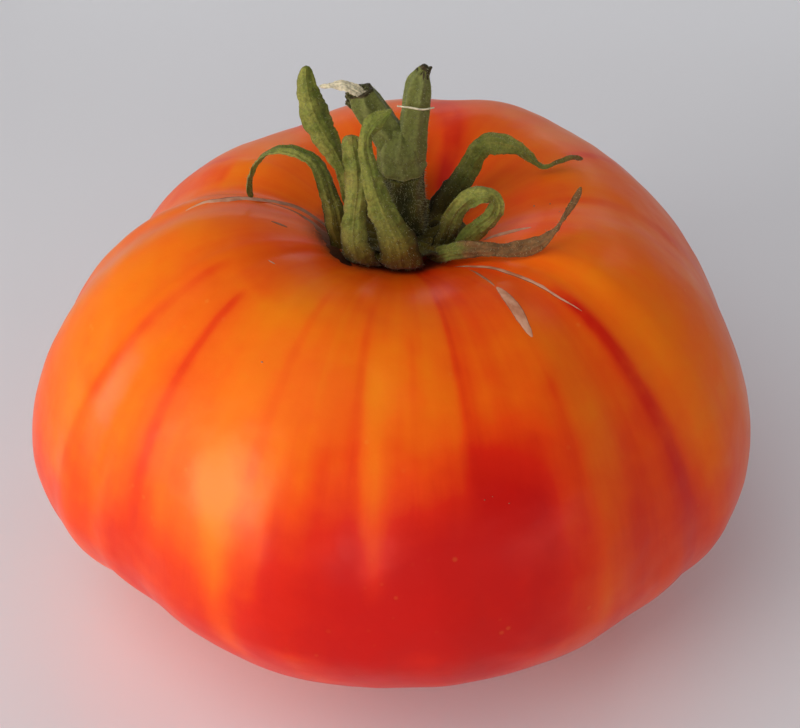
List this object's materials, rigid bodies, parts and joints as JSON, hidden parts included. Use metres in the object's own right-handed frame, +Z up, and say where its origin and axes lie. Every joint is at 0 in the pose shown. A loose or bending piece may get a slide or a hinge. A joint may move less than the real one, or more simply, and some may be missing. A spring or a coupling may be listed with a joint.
{
  "type": "tomato",
  "caption": "Large ribbed slicing tomato with a green calyx, its stalk and a broken fork of truss stem.",
  "frame": {"origin": "centre of the small flat spot underneath that the fruit rests on", "axes": "+Z up through the stem cavity, -Y towards the side the picture was taken from, +X to the right in that view"},
  "size_m": [0.1123, 0.1118, 0.0894],
  "materials": {
    "skin": "smooth waxy skin, orange shading to red",
    "sepal_green": "matte, finely hairy, drying leaf",
    "stalk_green": "matte, finely hairy, dark green stalk",
    "truss_green": "matte, finely hairy, mid green stem"
  },
  "bodies": {
    "root": {"fruit": "skin", "calyx": "sepal_green", "pedicel": "stalk_green", "truss_stub": "truss_green"}
  },
  "joints": []
}
